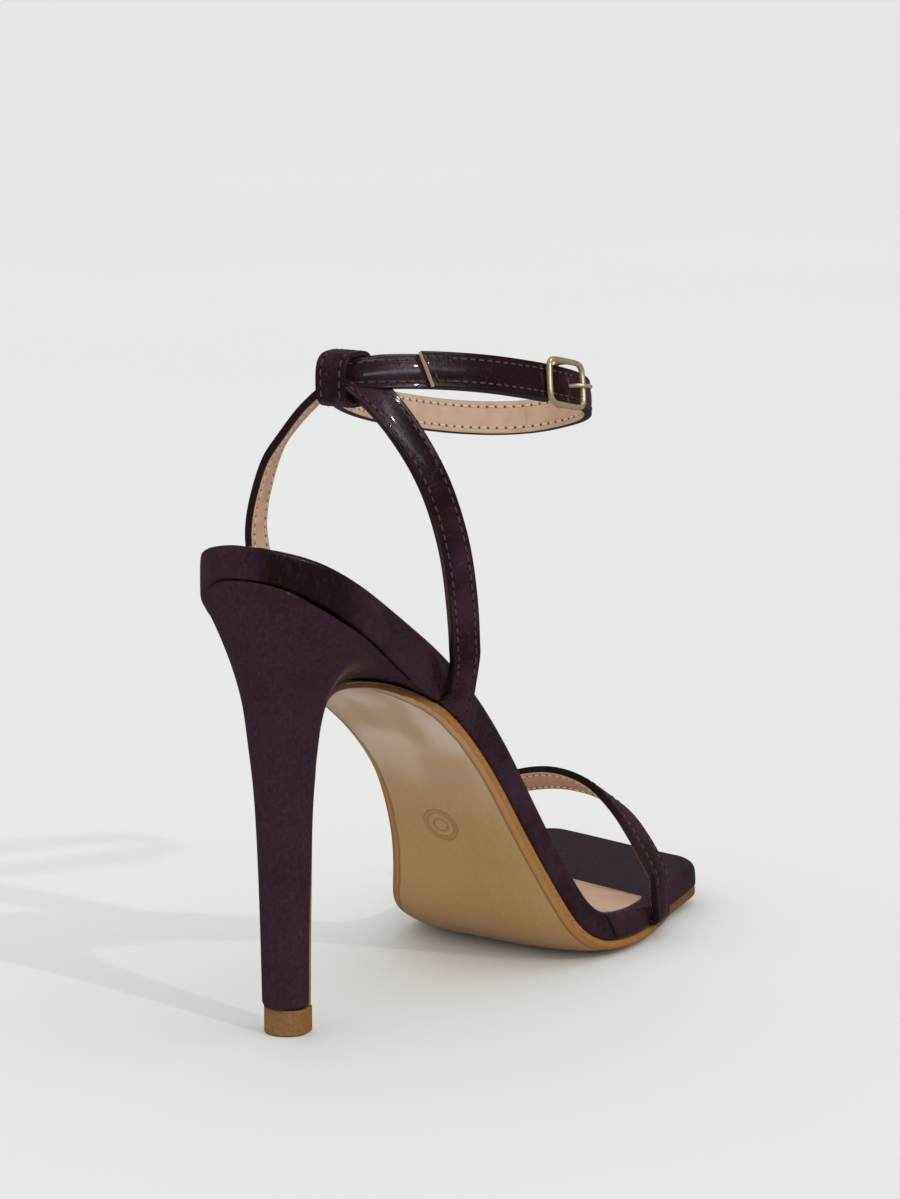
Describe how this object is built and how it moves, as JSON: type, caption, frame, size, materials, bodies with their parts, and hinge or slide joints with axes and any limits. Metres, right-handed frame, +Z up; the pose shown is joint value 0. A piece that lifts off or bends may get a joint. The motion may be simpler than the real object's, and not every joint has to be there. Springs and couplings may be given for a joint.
{
  "type": "strappy heeled sandal",
  "caption": "Strappy stiletto sandal with a square open toe, a toe strap, a sling and a buckled ankle strap through a keeper loop.",
  "frame": {"origin": "flat bottom of the heel tip, under the heel's axis, on the floor", "axes": "+X to the toe, +Y to the wearer's left, which is the inner side of this right shoe, +Z up"},
  "size_m": [0.1991, 0.0767, 0.1604],
  "materials": {
    "plum_leather": "crinkled patent, glossy",
    "tan_sole": "smooth, glossy",
    "brown_tip": "satin",
    "beige_lining": "matt",
    "pale_gold": "polished"
  },
  "bodies": {
    "root": {"footbed": "plum_leather", "footbed_lining": "beige_lining", "outsole": "tan_sole", "heel": "plum_leather", "heel_tip": "brown_tip", "toe_strap": "plum_leather", "ankle_and_sling_straps": "plum_leather", "keeper_loop": "plum_leather", "buckle_frame": "pale_gold", "buckle_prong": "pale_gold"}
  },
  "joints": []
}
